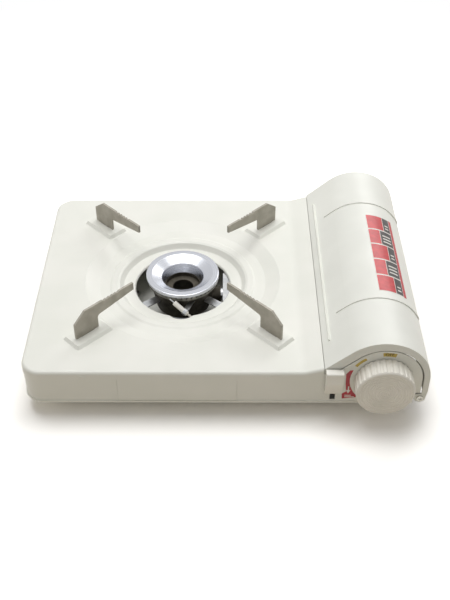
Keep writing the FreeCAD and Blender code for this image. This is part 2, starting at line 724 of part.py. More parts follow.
def make_pot_support(name, turn):
    arm = new_body(name, x="dish_x", y=MIDDLE, z=PAD_TOP, turn=((0, 0, 1), turn))
    middle = "(arm_inner + arm_outer) / 2"
    outline = [
        ("arm_inner", "0"), (middle + " - tab_wide / 2", "0"),
        (middle + " - tab_wide / 2", "0 - tab_deep"), (middle + " + tab_wide / 2", "0 - tab_deep"),
        (middle + " + tab_wide / 2", "0"), ("arm_outer", "0"), ("arm_outer", "arm_shoulder"),
        ("arm_corner", "arm_tall"),
    ]
    for number in range(int(value("tooth_count"))):
        peak = "tooth_start - %d * tooth_pitch" % number
        outline += [(peak, "arm_tall"), (peak + " - tooth_pitch * 0.35", "arm_tall - tooth_deep")]
    outline += [
        ("tooth_start - tooth_count * tooth_pitch", "arm_tall"), ("arm_tip", "arm_tall"),
        ("arm_tip", "arm_tall - arm_tip_deep"), ("arm_inner", "arm_throat", "3"),
    ]
    add(arm, "front", "0 - arm_thick / 2", "arm_thick", outline)
    return arm


def make_keeper(number, turn):
    """A steel bar under a pad, with the tongue of a pot support through it."""
    keeper = new_body("keeper_%d" % number, x="dish_x", y=MIDDLE, z=UNDER, turn=((0, 0, 1), turn))
    middle = "(arm_inner + arm_outer) / 2"
    bar = box(middle + " - keeper_long / 2", middle + " + keeper_long / 2",
              "0 - keeper_wide / 2", "keeper_wide / 2", "1.5")
    add(keeper, "plan", "0 - keeper_thick", "keeper_thick", bar, tongue_hole("bore_gap * 2"))
    return keeper


def make_stud(number, x, z):
    """A low round stud on the front skirt."""
    stud = new_body("stud_%d" % number, x=x, y=FRONT, z=z)
    spin(stud, "plan", [("0", "0"), ("stud_radius", "0"), ("stud_radius", "0 - stud_tall", "0.25"),
                        ("0", "0 - stud_tall")])
    return stud


# Burner, its air and its gas

def make_burner_body():
    burner = new_body("burner_body", x="dish_x", y=MIDDLE)
    core_top = CAP_TOP + " - throat_drop - skirt_gap"
    core_out = "core_radius + core_wall"
    spin(burner, "front", [
        ("core_radius", "burner_base"), ("core_radius", "ledge_tall"), ("ledge_radius", "ledge_tall"),
        ("ledge_radius", "ledge_tall + core_wall"), ("core_radius", "ledge_tall + core_wall"),
        ("core_radius", core_top), (core_out, core_top), (core_out, "burner_base + burner_wall"),
        ("burner_foot - burner_wall", "burner_base + burner_wall"),
        ("burner_wide - burner_wall", "burner_seat"), ("burner_wide", "burner_seat"),
        ("burner_wide", "burner_seat - burner_wall"),
        ("burner_wide - 2", "burner_seat - burner_wall - 1"), ("burner_foot", "burner_base", "2"),
    ])
    bore = "(tube_radius + bore_gap)"
    add(burner, "side", "burner_foot - burner_wall", "boss_reach - burner_foot + burner_wall",
        ("circle", "0", "tube_z", bore + " + boss_wall"))
    cut(burner, "side", core_out + " + 1", "boss_reach - " + core_out, ("circle", "0", "tube_z", bore))
    return burner


def make_port_ring():
    ring = new_body("port_ring", x="dish_x", y=MIDDLE)
    inner = "port_radius - port_deep"
    spin(ring, "front", box(inner, "port_radius", "burner_seat", PORT_TOP))
    notch = [("0 - port_half", PORT_TOP), ("port_half", PORT_TOP), ("0", PORT_TOP + " - port_half * 2")]
    port = cut(ring, "side", inner + " - 1", "port_deep + 2", notch)
    around(ring, port, "Z_Axis", "port_count")
    return ring


def make_burner_cap():
    cap = new_body("burner_cap", x="dish_x", y=MIDDLE)
    inner = "port_radius - port_deep"
    spin(cap, "front", [
        ("cap_radius - cap_thick", PORT_TOP), ("cap_radius", PORT_TOP + " + cap_thick"),
        ("cap_radius", CAP_TOP, "cap_thick"), ("cap_flat", CAP_TOP, "0.5"),
        ("cone_radius", CAP_TOP + " - cone_drop", "1"), ("throat_radius", CAP_TOP + " - throat_drop"),
        ("throat_radius + cap_thick", CAP_TOP + " - throat_drop"),
        ("cone_radius + cap_thick", CAP_TOP + " - cone_drop - cap_thick / 2", "1"),
        (inner, CAP_TOP + " - cap_thick * 1.2"), (inner, PORT_TOP),
    ])
    return cap


def make_mixing_tube():
    tube = new_body("mixing_tube", x="dish_x", y=MIDDLE, z="tube_z")
    bore = ("circle", "0", "0", "tube_radius - tube_wall")
    add(tube, "side", "tube_start", "tube_long", ("circle", "0", "0", "tube_radius"), bore)
    return tube


def make_air_shutter():
    shutter = new_body("air_shutter", x="dish_x", y=MIDDLE, z="tube_z")
    inner = "(tube_radius + bore_gap)"
    start = "(tube_start + tube_long - shutter_lap)"
    add(shutter, "side", start, "shutter_long", ("circle", "0", "0", inner + " + tube_wall"),
        ("circle", "0", "0", inner))
    window = box(start + " + shutter_lap", start + " + shutter_long - tube_wall", "0 - tube_radius / 2",
                 "tube_radius / 2")
    cut(shutter, "front", "0 - tube_radius - 3", "tube_radius * 2 + 6", window)
    return shutter


def make_injector_jet():
    jet = new_body("injector_jet", x=TUBE_END, y=MIDDLE, z="tube_z")
    add(jet, "side", "jet_gap", "jet_long", ("circle", "0", "0", "jet_radius"))
    add(jet, "side", "0 - jet_gap", "jet_gap * 2 + 1", ("circle", "0", "0", "jet_radius / 2"))
    cut(jet, "side", "jet_gap + jet_long / 2", "jet_long", ("circle", "0", "0", "gas_radius + bore_gap"))
    return jet


def make_jet_bracket():
    """Upright plate on the base pan that carries the jet."""
    bracket = new_body("jet_bracket", x=TUBE_END + " + jet_gap + 2", y=MIDDLE)
    plate = box("0 - 11", "11", FLOOR, "tube_z + jet_radius + 3", "3")
    add(bracket, "side", "0", "guide_thick", plate, ("circle", "0", "tube_z", "jet_radius + bore_gap"))
    add(bracket, "plan", FLOOR, "guide_thick", box("0", "12", "0 - 8", "8"))
    return bracket


def make_burner_bracket():
    """Bridge from the base pan to the underside of the burner."""
    bridge = new_body("burner_bracket", x="dish_x", y=MIDDLE)
    low = "(foot_tall + sheet_thick)"
    section = [
        ("0 - 44", low), ("0 - 44", low + " + guide_thick"), ("0 - 33", low + " + guide_thick", "1.5"),
        ("0 - 22", "burner_base", "2.5"), ("22", "burner_base", "2.5"),
        ("33", low + " + guide_thick", "1.5"), ("44", low + " + guide_thick"), ("44", low),
        ("32.3", low, "2.5"), ("21.3", "burner_base - guide_thick", "1.5"),
        ("0 - 21.3", "burner_base - guide_thick", "1.5"), ("0 - 32.3", low, "2.5"),
    ]
    add(bridge, "side", "0 - 9", "18", section)
    cut(bridge, "plan", "burner_base - 3", "4", ("circle", "0", "0", "6"))
    return bridge


def make_burner_stay(number, turn):
    """A bright strip from the burner to the underside of the dish."""
    stay = new_body("stay_%d" % number, x="dish_x", y=MIDDLE, turn=((0, 0, 1), turn))
    under_dish = "(plate_top - well_drop - mouth_lip - sheet_thick)"
    strip = box("burner_wide - 3", "mouth_radius + 6", "0 - 4", "4", "1")
    add(stay, "plan", under_dish + " - 1", "1", strip)
    return stay


def make_heat_plate():
    """Carries heat from the flame to the side of the cartridge."""
    plate = new_body("heat_plate", y=MIDDLE)
    start = "dish_x + heat_near"
    high = "heat_z + heat_thick"
    section = [(start, "heat_z"), ("heat_reach - heat_thick", "heat_z", "1"),
               ("heat_reach - heat_thick", "heat_z - heat_drop"), ("heat_reach", "heat_z - heat_drop"),
               ("heat_reach", high, "1.5"), (start, high)]
    add(plate, "front", "0 - heat_wide / 2", "heat_wide", section)
    return plate


# Swept pieces: the gas tube, the ignition lead and the striker's spring

def smooth_path(points, bends):
    """Straight runs joined by tangent arcs, with the arcs' radii."""
    edges = []
    here = points[0]
    for i in range(1, len(points) - 1):
        back = (points[i - 1] - points[i]).normalize()
        ahead = (points[i + 1] - points[i]).normalize()
        half = back.getAngle(ahead) / 2
        reach = bends[i - 1] / math.tan(half)
        start = points[i] + back * reach
        end = points[i] + ahead * reach
        centre = points[i] + (back + ahead).normalize() * (bends[i - 1] / math.sin(half))
        middle = centre + (points[i] - centre).normalize() * bends[i - 1]
        edges.append(Part.LineSegment(here, start).toShape())
        edges.append(Part.Arc(start, middle, end).toShape())
        here = end
    edges.append(Part.LineSegment(here, points[-1]).toShape())
    return Part.Wire(edges)


def sweep(label, points, radius, bends):
    path = smooth_path(points, bends)
    heading = points[1] - points[0]
    section = Part.Wire([Part.makeCircle(radius, points[0], heading)])
    shape = path.makePipeShell([section], True, False)
    ratio = shape.Volume / (math.pi * radius ** 2 * path.Length)
    print("%s: length %.1f, bends %s, volume over section times length %.3f"
          % (label, path.Length, ", ".join("%.1f" % bend for bend in bends), ratio))
    return plain(label, shape)


def outlet_place():
    """The gas outlet under the regulator."""
    return V(value("bay_x - outlet_side"), value(VALVE_FACE + " + outlet_back"),
             value("bay_z - outlet_reach"))


def make_gas_tube():
    outlet = outlet_place()
    low = value("gas_low")
    lane = value("gas_lane")
    middle = value(MIDDLE)
    jet = value(TUBE_END + " + jet_gap + jet_long / 2 + bore_gap")
    bend = value("gas_bend")
    points = [
        outlet + V(0, 0, value("outlet_boss")), V(outlet.x, outlet.y, low), V(lane, outlet.y, low),
        V(lane, middle - 30, low), V(lane, middle, value("tube_z")), V(jet, middle, value("tube_z")),
    ]
    return sweep("gas_tube", points, value("gas_radius"), [bend, bend, bend * 3, bend])


def electrode_line():
    """Foot and tip of the leaning ceramic, in front of the burner."""
    burner = V(value("dish_x"), value(MIDDLE), value(PORT_TOP))
    return burner + V(5.5, -42, -10.3), burner + V(-6.5, -35, -2.8)


def rod(label, start, end, radius):
    """A Part cylinder between two points."""
    piece = doc.addObject("Part::Cylinder", label)
    piece.Label = label
    piece.Height = (end - start).Length
    follow(piece, "Radius", radius) if isinstance(radius, str) else setattr(piece, "Radius", radius)
    piece.Placement = FreeCAD.Placement(start, FreeCAD.Rotation(V(0, 0, 1), end - start))
    return piece


def make_electrode():
    foot, tip = electrode_line()
    along = (tip - foot).normalize()
    ceramic = rod("electrode_ceramic", foot, tip, 2.3)
    pin = rod("electrode_pin", tip, tip + along * 5, 0.6)
    start = foot + along * 1.5
    ring = Part.makeCylinder(3.3, 3, start, along).cut(Part.makeCylinder(2.35, 3, start, along))
    burner = V(value("dish_x"), value(MIDDLE), 0)
    wall = burner + V(9, -27.3, value("burner_seat") - 4.5)
    middle = foot + along * 3
    hold = middle + (wall - middle).normalize() * 2.8
    strip = Part.makeBox((wall - hold).Length + 2, 5, 1, V(0, -2.5, -0.5))
    strip.Placement = FreeCAD.Placement(hold, FreeCAD.Rotation(V(1, 0, 0), wall - hold))
    bore = Part.makeCylinder(2.35, 20, foot - along * 5, along)
    burner_wall = Part.makeCylinder(value("burner_wide - 2.05"), value("burner_seat"), burner)
    bracket = plain("electrode_bracket", strip.fuse(ring).cut(bore).cut(burner_wall))
    return [ceramic, pin, bracket]


def make_ignition_lead():
    """Insulated lead from the igniter, under the plate, to the electrode; its points are chosen."""
    foot, tip = electrode_line()
    along = (tip - foot).normalize()
    left = value("piezo_right - piezo_long")
    points = [
        V(left + 4, value(PANEL_BACK + " + piezo_deep"), 38), V(left + 4, -78, 38), V(70, -68, 33),
        V(30, -60, 33), foot - along * 14, foot,
    ]
    bends = [9, 40, 60, 20]
    return sweep("ignition_lead", points, value("lead_radius"), bends)


def make_striker_spring():
    """Small coil between the striker's head and the igniter, one unbroken tube."""
    start = value("piezo_right") + value("coil_wire") + 0.1
    end = value("%s - cam_start - follow_gap - head_thick" % KNOB_X) - value("coil_wire") - 0.1
    turns = value("coil_turns")
    pitch = (end - start) / turns
    helix = Part.makeLongHelix(pitch, end - start, value("coil_radius"))
    section = Part.Wire([Part.makeCircle(value("coil_wire"), V(value("coil_radius"), 0, 0), V(0, 1, 0))])
    shape = Part.Wire(helix.Edges).makePipeShell([section], True, True)
    gap = pitch - 2 * value("coil_wire")
    print("striker_spring: least gap between turns %.2f" % gap)
    spring = plain("striker_spring", shape)
    along = FreeCAD.Rotation(V(0, 0, 1), V(1, 0, 0))
    spring.Placement = FreeCAD.Placement(V(start, value(STRIKER_Y), value(KNOB_Z)), along)
    return spring


# Regulator, socket and what locks the cartridge

def make_regulator_body():
    valve = new_body("regulator_body", x="bay_x", y=VALVE_FACE, z="bay_z")
    add(valve, "front", "0 - valve_long", "valve_long", ("circle", "0", "0", "valve_radius"))
    add(valve, "plan", "0 - outlet_reach", "outlet_reach - valve_radius / 2",
        ("circle", "0 - outlet_side", "outlet_back", "outlet_boss"))
    cut(valve, "plan", "0 - outlet_reach", "outlet_boss + bore_gap",
        ("circle", "0 - outlet_side", "outlet_back", "gas_radius + bore_gap"))
    add(valve, "front", "0 - flange_thick", "flange_thick", ("circle", "0", "0", "flange_radius"))
    cut(valve, "front", "0 - valve_long / 2", "valve_long / 2",
        ("circle", "knob_shift_x", "knob_shift_z", "spindle_radius + bore_gap"))
    return valve


def make_regulator_cap():
    dome = new_body("regulator_cap", x="bay_x", y=DOME_FACE, z="bay_z")
    spin(dome, "plan", [("0", "0"), ("dome_radius", "0", "1"), ("dome_radius", "dome_long", "2"),
                        ("0", "dome_long")])
    return dome


def make_cartridge_socket():
    socket = new_body("cartridge_socket", x="bay_x", y=SOCKET_FACE, z="bay_z")
    spin(socket, "plan", [("0", "0"), ("socket_radius", "0"), ("socket_radius", "socket_long", "1"),
                          ("nozzle_radius", "socket_long"),
                          ("nozzle_radius", "socket_long - nozzle_deep"),
                          ("seal_outer", "socket_long - nozzle_deep"),
                          ("seal_outer", "socket_long - nozzle_deep - seal_thick"),
                          ("0", "socket_long - nozzle_deep - seal_thick")])
    return socket


def make_stem_seal():
    seal = new_body("stem_seal", x="bay_x", z="bay_z",
                    y=SOCKET_FACE + " + socket_long - nozzle_deep - seal_thick")
    spin(seal, "plan", box("seal_radius", "seal_outer - bore_gap", "0", "seal_thick", "0.3"))
    return seal


def make_guide_plate():
    """Bulkhead on the base pan that carries the regulator's socket and steers the cartridge."""
    guide = new_body("guide_plate", x="bay_x", y=SOCKET_FACE + " + socket_long / 2")
    half = "(cradle_half + 3)"
    plate = [("0 - " + half, FLOOR), (half, FLOOR), (half, "bay_z + guide_radius - 10", "12"),
             ("0 - " + half, "bay_z + guide_radius - 10", "12")]
    add(guide, "front", "0 - guide_thick", "guide_thick", plate,
        ("circle", "0", "bay_z", "socket_radius + guide_gap"))
    add(guide, "plan", FLOOR, "guide_thick", box("0 - " + half, half, "0 - 10", "0"))
    return guide


def make_cradle(number, place):
    cradle = new_body("cradle_%d" % number, x="bay_x", y=place)
    add(cradle, "front", "0 - cradle_thick", "cradle_thick",
        box("0 - cradle_half", "cradle_half", FLOOR, "bay_z - guide_radius / 2"))
    cut(cradle, "front", "0 - cradle_thick - 1", "cradle_thick + 2",
        ("circle", "0", "bay_z", "can_radius + cradle_gap"))
    return cradle


def make_partition():
    """Wall between the burner room and the cartridge bay."""
    wall = new_body("bay_partition", x="wall_x", y=MIDDLE)
    half = "(%s - pan_inset - sheet_thick)" % WALL_IN
    outline = [("0 - " + half, FLOOR), (half, FLOOR), (half, "pan_ledge"), (WALL_IN, "pan_ledge"),
               (WALL_IN, "wall_top"), ("0 - " + WALL_IN, "wall_top"), ("0 - " + WALL_IN, "pan_ledge"),
               ("0 - " + half, "pan_ledge")]
    add(wall, "side", "0", "sheet_thick", outline)
    outlet = VALVE_FACE + " + outlet_back - (%s)" % MIDDLE
    tube_hole = ("circle", outlet, "gas_low", "gas_radius + 0.8")
    pin_hole = ("circle", "pivot_y - %s" % MIDDLE, "pivot_z", "pivot_radius + bore_gap")
    lead_hole = box("0 - 82", "0 - 73", "29", "39", "2")
    window = box("0 - heat_wide / 2 - 0.5", "heat_wide / 2 + 0.5", "heat_z - 0.5",
                 "heat_z + heat_thick + 0.5")
    cut(wall, "side", "0", "sheet_thick", tube_hole, pin_hole, lead_hole, window)
    return wall


def make_pusher():
    """Plate behind the cartridge; it slides forward when the lever goes down."""
    pusher = new_body("cartridge_pusher", x="bay_x", y=PUSHER_FACE)
    left = "rod_x - bay_x"
    plate = [(left, "rod_low"), ("0 - pusher_radius", "rod_low - 8"), ("0 - 20", FLOOR + " + rod_gap"),
             ("20", FLOOR + " + rod_gap"), ("pusher_radius", "rod_low - 4", "6"),
             ("pusher_radius", "bay_z + 16", "14"), ("0 - pusher_radius", "bay_z + 16", "14"),
             ("0 - pusher_radius", "rod_high"), (left, "rod_high")]
    add(pusher, "front", "0 - pusher_thick", "pusher_thick", plate)
    add(pusher, "plan", FLOOR + " + rod_gap", "guide_thick", box("0 - 20", "20", "0 - 14", "pusher_thick"))
    return pusher


def make_pusher_spring():
    """Bowed leaf spring on the pusher that takes up the cartridge's length."""
    leaf = new_body("pusher_spring", x="bay_x", y=PUSHER_FACE, z="bay_z")
    rise = "spring_rise"
    outline = [("0 - 22", "0"), ("0 - 16", "0", "3"), ("0 - 6", "0 - " + rise, "3"),
               ("6", "0 - " + rise, "3"), ("16", "0", "3"), ("22", "0"), ("22", "0 - 0.6"),
               ("15.6", "0 - 0.6", "3"), ("5.6", "0 - %s - 0.6" % rise, "3"),
               ("0 - 5.6", "0 - %s - 0.6" % rise, "3"), ("0 - 15.6", "0 - 0.6", "3"), ("0 - 22", "0 - 0.6")]
    add(leaf, "plan", "0 - 6", "12", outline)
    return leaf


def make_push_rod():
    """Flat rod beside the cartridge, from the lever's crank to the pusher."""
    strip = new_body("push_rod", x="rod_x")
    tip_y = "pivot_y"
    tip_z = "(pivot_z + crank_tall)"
    fork = "(tip_radius + fork_gap)"
    front = "(%s - %s - fork_wall)" % (tip_y, fork)
    add(strip, "side", "0", "rod_thick", box(front, PUSHER_FACE, "rod_low", "rod_high"))
    reach = "(lever_x + lever_thick / 2 - rod_x)"
    for side in (front, tip_y + " + " + fork):
        add(strip, "side", "0", reach, box(side, "(%s) + fork_wall" % side, "rod_low", "rod_high"))
    return strip


def make_rod_guide(number, place):
    """Hook on the partition that the push rod slides through."""
    guide = new_body("rod_guide_%d" % number, x="wall_x + sheet_thick", y=place)
    left = "(rod_x - wall_x - sheet_thick)"
    low = "(rod_low - rod_gap)"
    high = "(rod_high + rod_gap)"
    right = "(%s + rod_thick + rod_gap)" % left
    hook = [("0", low + " - 1"), (right + " + 1", low + " - 1"), (right + " + 1", high + " + 1"),
            (left + " - 1", high + " + 1"), (left + " - 1", high), (right, high), (right, low),
            ("0", low)]
    add(guide, "front", "0 - guide_wide / 2", "guide_wide", hook)
    return guide


def make_lever_arm():
    """Bell crank: its neck goes through the panel, its tip works the push rod."""
    arm = new_body("lever_arm", x="lever_x - lever_thick / 2", y="pivot_y", z="pivot_z")
    neck_y = "(%s - lever_back - pivot_y - neck_grip)" % FRONT
    low = "(neck_low - pivot_z)"
    high = "(neck_high - pivot_z)"
    outline = [(neck_y, low), (neck_y + " + 8", low, "3"), ("0 - hub_radius", "0 - hub_radius", "4"),
               ("hub_radius", "0 - hub_radius", "4"), ("hub_radius", "4", "2"),
               ("crank_half", "10", "3"), ("crank_half", "crank_tall"), ("0 - crank_half", "crank_tall"),
               ("0 - crank_half", high + " - 4", "3"), ("0 - 14", high, "4"), (neck_y, high)]
    add(arm, "side", "0", "lever_thick", outline, ("circle", "0", "0", "pivot_radius + bore_gap"))
    add(arm, "side", "0", "lever_thick", ("circle", "0", "crank_tall", "tip_radius"))
    return arm


def make_lever_cap():
    """Moulded cap on the neck: an upright face above, slanting back below."""
    cap = new_body("lever_cap", x="lever_x - lever_wide / 2", y=FRONT)
    back = "(0 - lever_back)"
    out = "(0 - lever_out)"
    outline = [(back, "lever_low"), (back, "lever_top"), (out, "lever_top", "1.5"),
               (out, "lever_break", "1"), (back + " - 1.2", "lever_low", "0.6")]
    add(cap, "side", "0", "lever_wide", outline)
    neck = box("0 - lever_back - neck_grip - 0.2", "1", "neck_low - bore_gap", "neck_high + bore_gap")
    middle = "lever_wide / 2 - lever_thick / 2 - bore_gap"
    cut(cap, "side", middle, "lever_thick + 2 * bore_gap", neck)
    return cap


def make_lever_pin():
    """Pivot pin, headed in the burner room and running through the partition."""
    pin = new_body("lever_pin", x="wall_x", y="pivot_y", z="pivot_z")
    add(pin, "side", "0", "lever_x + lever_thick / 2 + 1.5 - wall_x", ("circle", "0", "0", "pivot_radius"))
    add(pin, "side", "0 - head_tall", "head_tall", ("circle", "0", "0", "screw_head"))
    collar = "lever_x - lever_thick / 2 - rod_gap - wall_x - sheet_thick"
    add(pin, "side", "sheet_thick", collar, ("circle", "0", "0", "screw_head"))
    return pin


def make_lever_detent():
    """Bent leaf on the base pan that the lever's hub runs against."""
    leaf = new_body("lever_detent", x="lever_x - 4", y="pivot_y")
    top = "pivot_z - hub_radius - rod_gap"
    outline = [("0 - 4", FLOOR), ("18", FLOOR), ("18", FLOOR + " + sheet_thick"),
               ("0 - 3", FLOOR + " + sheet_thick", "1"), ("5", top), ("4", top),
               ("0 - 4", FLOOR + " + sheet_thick", "1")]
    add(leaf, "side", "0", "8", outline)
    return leaf


# Knob, spindle, cam and igniter

def make_knob():
    knob = new_body("knob", x=KNOB_X, y=FRONT + " - knob_out", z=KNOB_Z)
    deep = "(knob_out + case_inset - knob_gap)"
    spin(knob, "plan", [
        ("0", "0"), ("knob_radius", "0", "knob_edge"), ("knob_radius", deep), ("knob_radius - knob_wall", deep),
        ("knob_radius - knob_wall", "knob_wall"), ("spindle_radius * 2", "knob_wall"),
        ("spindle_radius * 2", deep), ("spindle_radius + bore_gap", deep),
        ("spindle_radius + bore_gap", "knob_wall * 2"), ("0", "knob_wall * 2"),
    ])
    flute = cut(knob, "front", "0 - " + deep, deep + " - knob_edge / 2",
                ("circle", "0", "knob_radius + flute_radius - flute_deep", "flute_radius"))
    around(knob, flute, "Y_Axis", "flute_count")
    return knob


def make_spindle():
    start = FRONT + " - knob_out + knob_wall * 2 + bore_gap"
    spindle = new_body("valve_spindle", x=KNOB_X, y=start, z=KNOB_Z)
    end = VALVE_FACE + " + valve_long / 2 - 1"
    add(spindle, "front", "0 - (%s - (%s))" % (end, start), "%s - (%s)" % (end, start),
        ("circle", "0", "0", "spindle_radius"))
    return spindle


def make_cam():
    """Snail cam: its radius grows evenly with the turn, then falls back."""
    start = value("cam_start")
    rate = value("cam_rate")
    sweep_angle = value("cam_sweep")
    count = 12
    lead_in = 0.2
    points = []
    for number in range(count + 1):
        turn = -lead_in + (sweep_angle + lead_in) * number / count
        radius = start + rate * turn
        points.append(V(-radius * math.cos(turn), 0, radius * math.sin(turn)))
    spiral = Part.BSplineCurve()
    spiral.interpolate(points)
    hub = points[0] * 0.9
    back = Part.Arc(points[-1], V(start * 0.8, 0, -start * 0.2), hub)
    outline = Part.Wire([spiral.toShape(), back.toShape(), Part.LineSegment(hub, points[0]).toShape()])
    solid = Part.Face(outline).extrude(V(0, value("cam_thick"), 0))
    bore = Part.makeCylinder(value("spindle_radius + bore_gap"), value("cam_thick"), V(), V(0, 1, 0))
    cam = plain("igniter_cam", solid.cut(bore))
    cam.Placement = FreeCAD.Placement(V(value(KNOB_X), value(CAM_FACE), value(KNOB_Z)), FreeCAD.Rotation())
    return cam


def make_clip():
    clip = new_body("spindle_clip", x=KNOB_X, y=CLIP_FACE, z=KNOB_Z)
    add(clip, "front", "0 - clip_thick", "clip_thick", ("circle", "0", "0", "clip_radius"),
        ("circle", "0", "0", "spindle_radius + bore_gap"))
    cut(clip, "front", "0 - clip_thick", "clip_thick",
        box("0 - spindle_radius / 2", "spindle_radius / 2", "0 - clip_radius - 1", "0"))
    return clip


def make_piezo():
    piezo = new_body("piezo_igniter", x="piezo_right - piezo_long", y=PANEL_BACK, z=KNOB_Z)
    add(piezo, "side", "0", "piezo_long",
        box("0", "piezo_deep", "0 - piezo_tall / 2", "piezo_tall / 2", "1.5"))
    cut(piezo, "side", "2", "piezo_long", ("circle", "piezo_deep / 2", "0", "striker_radius + bore_gap"))
    return piezo


def make_striker():
    tip = "(%s - cam_start - follow_gap)" % KNOB_X
    striker = new_body("igniter_striker", x=tip + " - striker_long", y=STRIKER_Y, z=KNOB_Z)
    add(striker, "side", "0", "striker_long", ("circle", "0", "0", "striker_radius"))
    add(striker, "side", "striker_long - head_thick", "head_thick - 0.5", ("circle", "0", "0", "striker_head"))
    return striker


# Cover, its end plates and its hinge

def cover_arch(radius, low):
    """Corners of the cover's section at one radius, from the seam round to its right side."""
    peak = "bay_z + " + arch_height(radius, "cover_slope")
    shift = "(cover_radius - %s)" % radius
    seam = "(seam_x + seam_gap + %s)" % shift
    seam_top = slope_height(radius, "cover_slope", "bay_x", "bay_z", seam)
    return [(seam, "cover_tip"), (seam, seam_top), ("bay_x + " + radius, peak, radius),
            ("bay_x + " + radius, "cover_break", "12"),
            ("hinge_x + ear_radius - " + shift, low)]


def make_cover_shell():
    cover = new_body("cover_shell", y=MIDDLE)
    outer = cover_arch("cover_radius", "cover_low")
    inner = cover_arch("(cover_radius - sheet_thick)", "cover_low")
    length = "(plate_deep - 2 * end_thick)"
    add(cover, "front", "0 - %s / 2" % length, length, outer + inner[::-1])
    for place in ("rib_front", "rib_back"):
        lift = "%s - %s - rib_wide / 2" % (MIDDLE, place)
        add(cover, "front", lift, "rib_wide", bead_line(RIB_TOP) + bead_line(RIB_FOOT)[::-1])
    ends = ("seam_rib - rib_wide / 2", "seam_rib + rib_wide / 2")
    straight = [(x, slope_height(RIB_TOP, "cover_slope", "bay_x", "bay_z", x)) for x in ends]
    straight += [(x, slope_height(RIB_FOOT, "cover_slope", "bay_x", "bay_z", x)) for x in ends[::-1]]
    add(cover, "front", "%s - seam_rib_back" % MIDDLE, "seam_rib_back - seam_rib_front", straight)
    return cover


RIB_TOP = "(cover_radius + rib_tall)"
RIB_FOOT = "(cover_radius - sheet_thick / 2)"


def bead_line(radius):
    """A bead across the cover: its left end on the slope, its bend and its right end."""
    half = "((90 + cover_slope - rib_end) / 2)"
    middle = "((90 + cover_slope + rib_end) / 2)"
    reach = "%s / cos(%s)" % (radius, half)
    left = ("rib_start", slope_height(radius, "cover_slope", "bay_x", "bay_z", "rib_start"))
    bend = ("bay_x + %s * cos(%s)" % (reach, middle), "bay_z + %s * sin(%s)" % (reach, middle), radius)
    right = ("bay_x + %s * cos(rib_end) + rib_tall * sin(rib_end)" % radius,
             "bay_z + %s * sin(rib_end) - rib_tall * cos(rib_end)" % radius)
    return [left, bend, right]


def make_cover_end(name, place, step_start):
    """End plate of the cover, with the arch round the control panel and the hinge ear."""
    plate = new_body(name, y=place)
    outer = cover_arch("cover_radius", "cover_low")[:4]
    ear_low = "hinge_z - ear_radius"
    left = "hinge_x - ear_radius"
    ear_top = "hinge_z + ear_radius - 0.2"
    arch = panel_arch("rim_gap")
    tip = [("seam_x + seam_gap", arch[-1][1])]
    outline = outer[1:] + [
        ("hinge_x + ear_radius", "hinge_z + 1", "6"), ("hinge_x + ear_radius", ear_low, "4.5"),
        (left, ear_low, "4.5"), (left, ear_top, "3.2"), (arch[0][0], ear_top, "0.8"),
    ] + arch + tip
    add(plate, "front", "0 - end_thick", "end_thick", outline,
        ("circle", "hinge_x", "hinge_z", "pin_radius + bore_gap"))
    inner = "(cover_radius - rim_wide)"
    start = "seam_x + rim_wide"
    step = [(start, slope_height(inner, "cover_slope", "bay_x", "bay_z", start)),
            ("bay_x + " + inner, "bay_z + " + arch_height(inner, "cover_slope"), inner),
            ("bay_x + " + inner, "hinge_z + ear_radius + 3"), (start, "cover_tip - 2")]
    cut(plate, "front", step_start, "rim_step", step)
    return plate


def make_hinge_screw(name, place, turn):
    """Headed screw through the cover's ear into its bracket; its shank is the hinge pin."""
    screw = new_body(name, x="hinge_x", y=place, z="hinge_z", turn=turn)
    shank = "(end_thick + (case_inset + sheet_thick - end_thick) + bracket_thick + 0.4)"
    spin(screw, "plan", [("0", "0 - 0.2 - head_tall"), ("screw_head", "0 - 0.2 - head_tall", "0.5"),
                         ("screw_head", "0 - 0.2"), ("pin_radius", "0 - 0.2"), ("pin_radius", shank),
                         ("0", shank)])
    cut(screw, "front", "head_tall / 2", "head_tall", box("0 - 1.8", "1.8", "0 - 0.35", "0.35"))
    cut(screw, "front", "head_tall / 2", "head_tall", box("0 - 0.35", "0.35", "0 - 1.8", "1.8"))
    return screw


def make_hinge_bracket(name, place):
    bracket = new_body(name, x="hinge_x", y=place, z="hinge_z")
    bar = [("0 - bracket_long", "0 - bracket_radius"), ("bracket_radius", "0 - bracket_radius", "3.2"),
           ("bracket_radius", "bracket_radius", "3.2"), ("0 - bracket_long", "bracket_radius")]
    add(bracket, "front", "0 - bracket_thick", "bracket_thick", bar,
        ("circle", "0", "0", "pin_radius + bore_gap"))
    return bracket


# Feet and small fasteners

def make_foot(name, x, y):
    foot = new_body(name, x=x, y=y)
    spin(foot, "front", [("0", "1.5"), ("2.5", "1.5"), ("2.5", "0"), ("foot_radius - 1", "0", "1"),
                         ("foot_radius", "foot_tall"), ("0", "foot_tall")])
    return foot


def make_screw(label, x, y, z, heading, radius="2.4", tall="1.2"):
    """A pan-head screw seen only as its head, seated on a face."""
    head = new_body(label, x=x, y=y, z=z, turn=heading)
    spin(head, "front", [("0", "0"), (radius, "0"), (radius, tall, "0.6"), ("0", tall)])
    return head


def make_post(number, angle):
    """A post between the control panel and the regulator's flange."""
    post = new_body("post_%d" % number, x="bay_x + post_circle * cos(%d)" % angle, y=PANEL_BACK,
                    z="bay_z + post_circle * sin(%d)" % angle)
    length = "(%s - (%s))" % (VALVE_FACE, PANEL_BACK)
    add(post, "front", "0 - " + length, length, ("circle", "0", "0", "post_radius"))
    return post


# The whole stove, then its checks and its export

FACING_DOWN = ((1, 0, 0), 180)
TURNED_ROUND = ((0, 0, 1), 180)
CORNERS = ("back_right", "back_left", "front_left", "front_right")
REAR_FACE = "(%s + %s)" % (MIDDLE, HALF)


